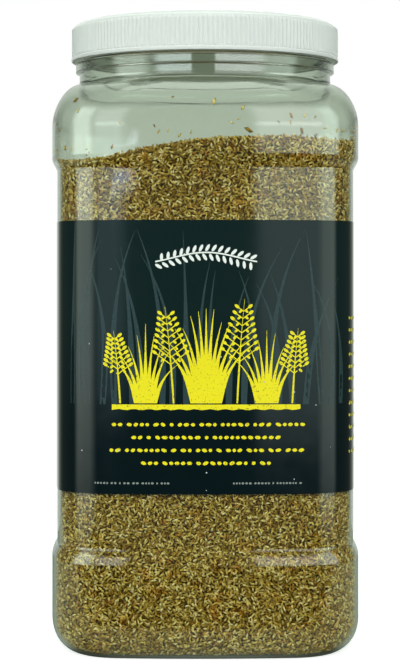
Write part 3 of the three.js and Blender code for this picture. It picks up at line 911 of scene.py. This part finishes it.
cling_random = random.Random(43)
clinging = [(front_angle(across, z), z, turn, size, tint)
            for across, z, turn, size, tint in CLINGING]
while len(clinging) < len(CLINGING) + STRAY_HUSKS:
    angle = cling_random.uniform(0, TURN)
    above = abs(cling_random.gauss(0, STRAY_SPREAD)) + STRAY_CLEARANCE
    z = min(edge_level(angle, SKIN_INSET) + above, SHOULDER_TOP - UNDER_SHOULDER)
    clinging.append((angle, z, cling_random.uniform(-90, 90),
                     cling_random.uniform(0.55, 0.95), cling_random.random()))
cling_vertices, cling_faces, cling_shades = [], [], []
for angle, z, turn, size, tint in clinging:
    place = upper_wall_point(angle, z, CLING_INSET)
    sideways = (upper_wall_point(angle + 0.01, z, CLING_INSET) - place).normalized()
    upwards = (upper_wall_point(angle, z + 0.3, CLING_INSET) - place).normalized()
    outwards = sideways.cross(upwards)
    along = sideways * math.cos(math.radians(turn)) + upwards * math.sin(math.radians(turn))
    base = len(cling_vertices)
    for vertex in husk.data.vertices:
        x, y, z = vertex.co * size
        cling_vertices.append(place + along * x + outwards.cross(along) * y + outwards * z)
        cling_shades.append(tint)
    cling_faces.extend([base + i for i in face] for face in husk_faces)
clinging_piece = mesh_object("seed_clinging", cling_vertices, cling_faces)
shades = clinging_piece.data.attributes.new("shade", "FLOAT", "POINT")
shades.data.foreach_set("value", cling_shades)
clinging_piece.data.materials.append(seed_material)
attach(clinging_piece, "filled_jar")
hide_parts("seed_fill")
bpy.data.objects.remove(husk)


# ---- Cap --------------------------------------------------------------------
# A wide screw cap moulded in white polypropylene: a plain rim below, fine
# upright ribs around the skirt, and a smooth rounded top edge. Its own thread
# runs round the inside and holds it on the neck.
CAP_BOTTOM = 253.5
CAP_TOP = 270.6
CAP_TOP_WALL = 1.7
CAP_RIM_RADIUS = 58.6
CAP_SKIRT_RADIUS = 57.8
CAP_INNER_RADIUS = 55.5
CAP_RIM_TOP = 255.1
CAP_INSIDE_TOP = 267
CAP_INNER_ROUND = 0.8
CAP_LIP_ROUND = 0.4
CAP_RIM_ROUND = 0.35
CAP_EDGE_REACH = 6.5
CAP_EDGE_DROP = 3.6
CAP_EDGE_STEPS = 16
CAP_THREAD_DROP = 2.25
CAP_SKIRT_HEIGHTS = (255.3, 255.5, 255.8, 256.2, 262, 266.4)
RIB_COUNT = 184
COLUMNS_PER_RIB = 6
RIB_BOTTOM = 255.2
RIB_TOP = 268.6
RIB_HEIGHT = 0.58
RIB_RISE = 0.6 * MM
RIB_FALL = 1.2 * MM
SKIRT_SLACK = 1.5 * MM

inside_top = CAP_TOP - CAP_TOP_WALL
inside_rings = [(r, inside_top) for r in (18, 36, 52, CAP_INNER_RADIUS - CAP_INNER_ROUND)]
inside_rings += [(CAP_INNER_RADIUS, inside_top - CAP_INNER_ROUND)]
inside_rings += [(CAP_INNER_RADIUS, z) for z in heights(CAP_INSIDE_TOP, CAP_BOTTOM + 0.3, 0.8)]
inside_rings += [(CAP_INNER_RADIUS + 0.3, CAP_BOTTOM)]
skirt_rings = [(CAP_SKIRT_RADIUS, z) for z in CAP_SKIRT_HEIGHTS]
for i in range(CAP_EDGE_STEPS + 1):
    turn = TURN / 4 * i / CAP_EDGE_STEPS
    skirt_rings.append((CAP_SKIRT_RADIUS - CAP_EDGE_REACH * (1 - math.cos(turn)),
                        CAP_TOP - CAP_EDGE_DROP * (1 - math.sin(turn))))
skirt_rings += [(r, CAP_TOP) for r in (46, 34, 18)]
cap_rows = [(0, 0, inside_top)] + [(r, r, z) for r, z in inside_rings]
cap_rows += arc_rows(CAP_RIM_RADIUS - CAP_LIP_ROUND, CAP_BOTTOM + CAP_LIP_ROUND, CAP_LIP_ROUND,
                     -90, 0, 4)
cap_rows += arc_rows(CAP_RIM_RADIUS - CAP_RIM_ROUND, CAP_RIM_TOP - CAP_RIM_ROUND, CAP_RIM_ROUND,
                     0, 70, 4)
cap_rows += [(r, r, z) for r, z in skirt_rings] + [(0, 0, CAP_TOP)]
round_columns = RIB_COUNT * COLUMNS_PER_RIB
round_angles = [TURN * i / round_columns for i in range(round_columns)]


def cap_ring(row):
    """A row of the cap. The skirt's inner wall carries the cap's own thread ridge."""
    if row[0] != CAP_INNER_RADIUS or row[2] > CAP_INSIDE_TOP:
        return jar_ring(row, round_angles)
    return threaded_ring(row, round_angles, -THREAD_HEIGHT, CAP_THREAD_DROP)


cap_shell = loft_mesh("cap_shell", [cap_ring(row) for row in cap_rows])


def rib_wave_tree():
    """Push a turned skirt out into even upright ribs between two heights."""
    tree, enter, leave = open_group(
        "ribs round a cap", "GeometryNodeTree",
        {"Geometry": "Geometry", "Count": "Float", "Height": "Float", "Bottom": "Float",
         "Top": "Float", "Skirt Radius": "Float", "Finish": "Material"},
        {"Geometry": "Geometry"})

    def number(operation, a, b=0.0):
        return calculate(tree, operation, a, b)

    place = add_node(tree, "GeometryNodeInputPosition").outputs[0]
    x, y, z = add_node(tree, "ShaderNodeSeparateXYZ", {"Vector": place}).outputs
    flat = add_node(tree, "ShaderNodeCombineXYZ", {"X": x, "Y": y}).outputs[0]
    outward = add_node(tree, "ShaderNodeVectorMath", {0: flat},
                       operation="NORMALIZE").outputs[0]
    radius = add_node(tree, "ShaderNodeVectorMath", {0: flat}, operation="LENGTH").outputs[1]
    angle = number("ARCTAN2", y, x)
    crests = number("COSINE", number("MULTIPLY", angle, enter["Count"]))
    wave = number("MULTIPLY", number("ADD", crests, 1.0), 0.5)
    above = step_mask(tree, z, enter["Bottom"], number("ADD", enter["Bottom"], RIB_RISE))
    fallen = step_mask(tree, z, number("SUBTRACT", enter["Top"], RIB_FALL), enter["Top"])
    below = number("SUBTRACT", 1.0, fallen)
    outer = number("GREATER_THAN", radius, number("SUBTRACT", enter["Skirt Radius"], SKIRT_SLACK))
    rise = number("MULTIPLY", number("MULTIPLY", wave, enter["Height"]),
                  number("MULTIPLY", outer, number("MULTIPLY", above, below)))
    push = add_node(tree, "ShaderNodeVectorMath", {0: outward, "Scale": rise},
                    operation="SCALE").outputs[0]
    waved = add_node(tree, "GeometryNodeSetPosition",
                     {"Geometry": enter["Geometry"], "Offset": push})
    real = add_node(tree, "GeometryNodeRealizeInstances", {"Geometry": waved.outputs[0]})
    finished = add_node(tree, "GeometryNodeSetMaterial",
                        {"Geometry": real.outputs[0], "Material": enter["Finish"]})
    tree.links.new(finished.outputs[0], leave.inputs["Geometry"])
    return tree


# The satin skirt scatters light and has a soft sheen at its sides. The cap's inner side
# glows faintly with painted light, standing in for daylight through the thin plastic.
CAP_WHITES = ((0.572, 0.598, 0.572), (0.592, 0.618, 0.592))
RIM_SHADE_WHITE = (0.97, 0.97, 0.97)
RIM_EDGE = (254.6 * MM, 255.4 * MM)
PAINTED_GLOW_COLOR = (0.145, 0.17, 0.135)
GLOW_RADIUS = 57.0 * MM
GLOW_TOP = 269.3 * MM
cap_material, cap_tree, cap_surface, _ = new_material("white polypropylene", {
    "Roughness": 0.5, "Sheen Weight": 0.75, "Sheen Roughness": 0.5, "Subsurface Weight": 0.6,
    "Subsurface Radius": (0.9, 1.0, 0.9), "Subsurface Scale": 0.0006, "Emission Strength": 1.0})
cap_x, cap_y, cap_z = place_on_piece(cap_tree)
cap_shade = mix_colors(cap_tree, mottle_mask(cap_tree, 35, 3), *CAP_WHITES)
# Painted shade: the plain rim below the ribs is made a little darker than the skirt, to even out
# the brighter light it catches.
painted_rim_shade = mix_colors(cap_tree, 1.0, cap_shade, RIM_SHADE_WHITE, "MULTIPLY")
above_rim = step_mask(cap_tree, cap_z, *RIM_EDGE)
cap_tree.links.new(mix_colors(cap_tree, above_rim, painted_rim_shade, cap_shade),
                   cap_surface.inputs["Base Color"])
bump_from(cap_tree, mottle_mask(cap_tree, 900, 3), 0.06, 0.0001, cap_surface)
from_axis = calculate(cap_tree, "SQRT", calculate(
    cap_tree, "ADD", calculate(cap_tree, "MULTIPLY", cap_x, cap_x),
    calculate(cap_tree, "MULTIPLY", cap_y, cap_y)))
# Painted light: the inside of the cap glows faintly, though no lamp is there.
painted_glow_inside = calculate(
    cap_tree, "MULTIPLY", calculate(cap_tree, "LESS_THAN", from_axis, GLOW_RADIUS),
    calculate(cap_tree, "LESS_THAN", cap_z, GLOW_TOP))
cap_tree.links.new(mix_colors(cap_tree, painted_glow_inside, (0.0, 0.0, 0.0), PAINTED_GLOW_COLOR),
                   cap_surface.inputs["Emission Color"])
cap = apply_tree("ribbed_cap", cap_shell, rib_wave_tree(),
                 {"Count": float(RIB_COUNT), "Height": RIB_HEIGHT * MM, "Bottom": RIB_BOTTOM * MM,
                  "Top": RIB_TOP * MM, "Skirt Radius": CAP_SKIRT_RADIUS * MM,
                  "Finish": cap_material})
cap.data.shade_smooth()
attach(cap, "screw_cap")
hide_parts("cap")


# ---- Liner ------------------------------------------------------------------
# The sealing disc under the cap's top, pulp board faced with foil. It is hidden
# when the cap is down.
liner_material, liner_tree, liner_surface, _ = new_material("liner board", {"Roughness": 0.7})
liner_shade = mix_colors(liner_tree, mottle_mask(liner_tree, 400, 5), (0.72, 0.71, 0.66),
                         (0.88, 0.87, 0.83))
liner_tree.links.new(liner_shade, liner_surface.inputs["Base Color"])
bump_from(liner_tree, mottle_mask(liner_tree, 2500, 3), 0.3, 0.00005, liner_surface)
for piece in list(scene.objects):
    if piece.get("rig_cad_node") == "liner":
        piece.data.materials.clear()
        piece.data.materials.append(liner_material)


# ---- Label ------------------------------------------------------------------
# A dark printed film wrapped once round the recessed panel, its ends lapped at
# the back. The print is a generic one: tufts of grass, a sprig and rows of seeds.
FILM_GAP = 0.08
FILM_THICKNESS = 0.12
FILM_COLUMN = 1.2
FILM_CREASE = math.radians(40)
LAP_WIDTH = 12.0
LAP_RAMP = 3
LAP_RISE = 0.16
LABEL_HALF = PANEL_HALF + FILM_GAP
SIDE_DEPTH = SIDE_RADIUS - LABEL_HALF + CORNER_CENTRE
SIDE_TURN = math.atan2(CORNER_CENTRE, SIDE_DEPTH)
LABEL_CORNER = SIDE_RADIUS - math.hypot(CORNER_CENTRE, SIDE_DEPTH)
SIDE_ARC = SIDE_RADIUS * SIDE_TURN
SIDE_RUN = 2 * SIDE_ARC + LABEL_CORNER * (TURN / 4 - 2 * SIDE_TURN)
FILM_END = 2 * SIDE_RUN + LAP_WIDTH / 2


def label_point(run, lift):
    """Where a distance along the film from the middle of the front lies in plan."""
    side, along = divmod(run + SIDE_RUN / 2, SIDE_RUN)
    along -= SIDE_RUN / 2
    if abs(along) <= SIDE_ARC:
        turn = along / SIDE_RADIUS
        x = (SIDE_RADIUS + lift) * math.sin(turn)
        y = SIDE_RADIUS - LABEL_HALF - (SIDE_RADIUS + lift) * math.cos(turn)
    else:
        turn = SIDE_TURN + (abs(along) - SIDE_ARC) / LABEL_CORNER
        x = math.copysign(CORNER_CENTRE + (LABEL_CORNER + lift) * math.sin(turn), along)
        y = -(CORNER_CENTRE + (LABEL_CORNER + lift) * math.cos(turn))
    quarter = side * TURN / 4
    return (x * math.cos(quarter) - y * math.sin(quarter),
            x * math.sin(quarter) + y * math.cos(quarter))


def lap_lift(run):
    """The end of the film climbs over its start at the back."""
    overlap = FILM_END - LAP_WIDTH
    return LAP_RISE * smooth_step(run, overlap - LAP_RAMP, overlap)


film_runs = heights(-FILM_END, FILM_END, FILM_COLUMN)
film_rings = []
for z in (LABEL_BOTTOM, LABEL_TOP):
    outer = [label_point(run, lap_lift(run) + FILM_THICKNESS) for run in film_runs]
    inner = [label_point(run, lap_lift(run)) for run in film_runs]
    film_rings.append([(x * MM, y * MM, z * MM) for x, y in outer + inner[::-1]])
film_columns = len(film_runs)
film_vertices = film_rings[0] + film_rings[1]
film_faces = []
ring_size = 2 * film_columns
for i in range(ring_size):
    j = (i + 1) % ring_size
    film_faces.append((i, j, ring_size + j, ring_size + i))
for i in range(film_columns - 1):
    j = ring_size - 1 - i
    film_faces.append((i + 1, i, j, j - 1))
    film_faces.append((ring_size + i, ring_size + i + 1, ring_size + j - 1, ring_size + j))
film = mesh_object("label_film", film_vertices, film_faces)
film.data.set_sharp_from_angle(angle=FILM_CREASE)


def fine_dust_group():
    """Scattered specks, as a mask: their Scale and Size, and the Share of cells with one."""
    group, enter, leave = open_group("fine dust", "ShaderNodeTree",
                                     {"Scale": "Float", "Size": "Float", "Share": "Float"},
                                     {"Mask": "Float"})
    place = add_node(group, "ShaderNodeTexCoord").outputs["Object"]
    cells = add_node(group, "ShaderNodeTexVoronoi", {"Vector": place, "Scale": enter["Scale"]})
    near = calculate(group, "LESS_THAN", cells.outputs["Distance"], enter["Size"])
    draw = add_node(group, "ShaderNodeSeparateColor", {0: cells.outputs["Color"]}).outputs[0]
    chosen = calculate(group, "LESS_THAN", draw, enter["Share"])
    group.links.new(calculate(group, "MULTIPLY", near, chosen), leave.inputs["Mask"])
    return group


fine_dust = fine_dust_group()
DUST_COLOR = (0.42, 0.45, 0.43)
FADE_HEIGHTS = (85 * MM, 150 * MM)
RUBBED_MOTTLE = (0.56, 0.70)


def print_material(name, dark, light, roughness, fade=None, worn=None):
    """Printed ink on film: it may fade to a colour up the label, or be worn to one."""
    material, tree, surface, _ = new_material(name, {"Specular IOR Level": 0.32})
    ink = mix_colors(tree, mottle_mask(tree, 60, 4), dark, light)
    if fade:
        ink = mix_colors(tree, step_mask(tree, place_on_piece(tree)[2], *FADE_HEIGHTS), ink, fade)
    if worn:
        rubbed = step_mask(tree, mottle_mask(tree, 1100, 3, 0.65), *RUBBED_MOTTLE)
        ink = mix_colors(tree, rubbed, ink, worn)
    dust = add_node(tree, "ShaderNodeGroup", {"Scale": 330, "Size": 0.10, "Share": 0.05},
                    node_tree=fine_dust)
    tree.links.new(mix_colors(tree, dust.outputs["Mask"], ink, DUST_COLOR),
                   surface.inputs["Base Color"])
    gloss = add_node(tree, "ShaderNodeMapRange",
                     {"Value": mottle_mask(tree, 140, 5), "To Min": roughness - 0.04,
                      "To Max": roughness + 0.06})
    tree.links.new(gloss.outputs["Result"], surface.inputs["Roughness"])
    bump_from(tree, mottle_mask(tree, 45, 2), 0.08, 0.0006, surface)
    return material


film.data.materials.append(print_material("dark label film", (0.0006, 0.0045, 0.0060),
                                          (0.0014, 0.0062, 0.0078), 0.07,
                                          fade=(0.0036, 0.0125, 0.0122)))
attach(film, "filled_jar")
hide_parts("label")


# Ink shapes that may cross lie at different heights in turn.
INK_THICKNESS = 0.01
INK_HEIGHTS = 13


def ink_piece(name, shapes, material, lift, step=0.003):
    """Flat outlines in run and height, each laid on the film as a thin skin of ink."""
    vertices, faces = [], []
    for number, shape in enumerate(shapes):
        base = len(vertices)
        rise = lift + step * (number % INK_HEIGHTS)
        for layer in (rise, rise + INK_THICKNESS):
            for run, z in shape:
                x, y = label_point(run, lap_lift(run) + FILM_THICKNESS + layer)
                vertices.append((x * MM, y * MM, z * MM))
        count = len(shape)
        half = count // 2
        for i in range(half - 1):
            a, b, c, d = i, i + 1, count - 2 - i, count - 1 - i
            faces.append((base + count + a, base + count + b, base + count + c, base + count + d))
            faces.append((base + d, base + c, base + b, base + a))
        for i in range(count):
            j = (i + 1) % count
            faces.append((base + i, base + j, base + count + j, base + count + i))
    piece = mesh_object(name, vertices, faces, smooth=False)
    piece.data.materials.append(material)
    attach(piece, "filled_jar")
    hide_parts("label")
    return piece


FINEST_INK = 0.06


def blade(root, lean, height, width, curl, steps=9, start=0.0):
    """A grass blade: it rises from its root, leans over, and tapers to a point."""
    right, left = [], []
    for i in range(steps + 1):
        share = i / steps
        run = root + lean * share + curl * share ** 2.6
        z = start + height * (share - 0.16 * abs(curl) / max(height, 1) * share ** 3)
        belly = 0.72 + 0.28 * math.sin(math.pi * min(1, share * 1.6))
        half = max(width / 2 * (1 - share) ** 0.75 * belly, FINEST_INK)
        right.append((run + half, z))
        left.append((run - half, z))
    return right + left[::-1]


def grain(run, z, length, width, turn, steps=6):
    """A seed shape, pointed at both ends."""
    upper, lower = [], []
    for i in range(steps + 1):
        along = -1 + 2 * i / steps
        wide = math.sqrt(max(0.0, 1 - along * along)) * 0.5 * width + 0.02
        upper.append((along * length / 2, wide))
        lower.append((along * length / 2, -wide))
    points = lower + upper[::-1]
    c, s = math.cos(turn), math.sin(turn)
    return [(run + x * c - y * s, z + x * s + y * c) for x, y in points]


TUFT_FOOT = 107.0
ink_random = random.Random(7)
yellow_shapes = []
for centre, scale, count in ((0, 1.0, 13), (-25, 0.74, 9), (25, 0.74, 9)):
    for i in range(count):
        share = -1 + 2 * i / (count - 1)
        tall = 42 * scale * (1 - 0.38 * abs(share)) * ink_random.uniform(0.92, 1.06)
        yellow_shapes.append(blade(centre + 5.4 * scale * share, 4.5 * scale * share, tall,
                                   3.0 * scale, 9.5 * scale * share, start=TUFT_FOOT))


def twig(start, end, width):
    """A thin straight branch as an outline, from one point to another."""
    (x0, z0), (x1, z1) = start, end
    length = math.hypot(x1 - x0, z1 - z0)
    across = (-(z1 - z0) / length * width / 2, (x1 - x0) / length * width / 2)
    return [(x0 - across[0], z0 - across[1]), (x1 - across[0], z1 - across[1]),
            (x1 + across[0], z1 + across[1]), (x0 + across[0], z0 + across[1])]


def panicle(root, height, lean, spread, pairs=8):
    """An open seed head on its stem: pairs of fine branches with a grain at each tip."""
    shapes = [blade(root, lean, height, 0.95, lean * 0.4, start=TUFT_FOOT)]
    for i in range(pairs):
        share = 0.42 + 0.55 * i / pairs
        z = TUFT_FOOT + height * (share - 0.02)
        stem = root + lean * share + lean * 0.4 * share ** 2.6
        reach = spread * (1 - 0.78 * i / pairs)
        for sign in (-1, 1):
            tip = (stem + sign * reach, z + 0.75 * reach)
            shapes.append(twig((stem, z), tip, 0.42))
            shapes.append(grain(tip[0] + sign * 0.7, tip[1] + 0.55, 2.4, 1.25, sign * 0.67))
            middle = (stem + sign * reach * 0.55, z + 0.75 * reach * 0.55)
            shapes.append(grain(middle[0] + sign * 0.1, middle[1] - 0.75, 1.9, 1.0, -sign * 0.75))
    return shapes


for root, height, lean, spread in ((-13.4, 40, -2.6, 6.0), (12.8, 43, 2.2, 6.4),
                                   (-35.5, 30, -2.0, 4.6), (35.6, 31, 1.8, 4.6)):
    yellow_shapes += panicle(root, height, lean, spread)
GROUND_STEPS = 48
ground_run = [-39 + 78 * i / GROUND_STEPS for i in range(GROUND_STEPS + 1)]
yellow_shapes.append([(run, TUFT_FOOT - 2.6 + 0.25 * math.sin(run)) for run in ground_run]
                     + [(run, TUFT_FOOT - 0.5) for run in ground_run[::-1]])


def seed_row(start, end, z, lengths, width, gaps, tilt=0.0):
    """Seed shapes in a row along the film, until they pass the end asked for at each."""
    shapes, run = [], start
    while run < end():
        length = ink_random.uniform(*lengths)
        turn = ink_random.uniform(-tilt, tilt) if tilt else 0
        shapes.append(grain(run + length / 2, z, length, width, turn))
        run += length + ink_random.choice(gaps)
    return shapes


# Four even rows below the tufts, and ragged ones down the label's right side.
YELLOW_ROW = {"lengths": (1.5, 2.6), "width": 1.35, "gaps": (0.5, 0.5, 0.6, 1.6), "tilt": 0.5}
SIDE_ROWS_START = 66.0
SIDE_ROW_LENGTHS = (42, 60)
small_yellow = []
for reach, z in ((39, 98.2), (31, 92.9), (40, 87.6), (27, 82.3)):
    small_yellow += seed_row(-reach, lambda: reach, z, **YELLOW_ROW)
for z in heights(142, 86, 5.2):
    small_yellow += seed_row(SIDE_ROWS_START,
                             lambda: SIDE_ROWS_START + ink_random.uniform(*SIDE_ROW_LENGTHS),
                             z, **YELLOW_ROW)
yellow_ink = print_material("yellow ink", (0.63, 0.555, 0.006), (0.72, 0.645, 0.010), 0.34,
                            worn=(0.16, 0.15, 0.012))
ink_piece("ink_grass", yellow_shapes, yellow_ink, 0.036)
ink_piece("ink_seed_rows", small_yellow, yellow_ink, 0.036)

# A white sprig: pairs of leaves along a bowed stem, which runs from -1 to 1.
SPRIG_HEIGHT = 167
LEAF_PAIRS = 15
STEM_STEPS = 16


def stem_bow(along):
    return 2.2 * math.cos(2.4 * along)


white_shapes = []
for i in range(LEAF_PAIRS):
    along = -1 + 2 * i / (LEAF_PAIRS - 1)
    run, z = 19 * along, SPRIG_HEIGHT + stem_bow(along)
    for sign in (-1, 1):
        white_shapes.append(grain(run + 0.6 * sign, z + sign * 1.9, 3.4, 1.25,
                                  sign * (1.05 - 0.5 * along * sign)))
stem = [-1 + 2 * i / STEM_STEPS for i in range(STEM_STEPS + 1)]
white_shapes.append([(21 * along, SPRIG_HEIGHT - 0.3 + stem_bow(along)) for along in stem]
                    + [(21 * along, SPRIG_HEIGHT + 0.3 + stem_bow(along))
                       for along in stem[::-1]])
white_ink = print_material("white ink", (0.58, 0.62, 0.58), (0.68, 0.72, 0.68), 0.34)
ink_piece("ink_sprig", white_shapes, white_ink, 0.01)

GREY_ROW_HEIGHT = 74.0
grey_shapes = []
for first, last in ((-46.5, -16), (11, 39)):
    grey_shapes += seed_row(first, lambda: last, GREY_ROW_HEIGHT, (0.7, 1.3), 0.8,
                            (0.35, 0.35, 1.0))
grey_ink = print_material("grey ink", (0.16, 0.19, 0.17), (0.20, 0.23, 0.21), 0.34)
ink_piece("ink_small_rows", grey_shapes, grey_ink, 0.01)

FAINT_BLADES = 22
teal_shapes = []
for i in range(FAINT_BLADES):
    root = -60 + 120 * i / (FAINT_BLADES - 1) + ink_random.uniform(-2, 2)
    teal_shapes.append(blade(root, ink_random.uniform(-5, 5), ink_random.uniform(46, 76), 3.4,
                             ink_random.uniform(-16, 16), start=TUFT_FOOT - 0.5, steps=14))
teal_ink = print_material("teal ink", (0.016, 0.034, 0.036), (0.020, 0.041, 0.043), 0.26)
ink_piece("ink_faint_blades", teal_shapes, teal_ink, 0.004, 0.0015)
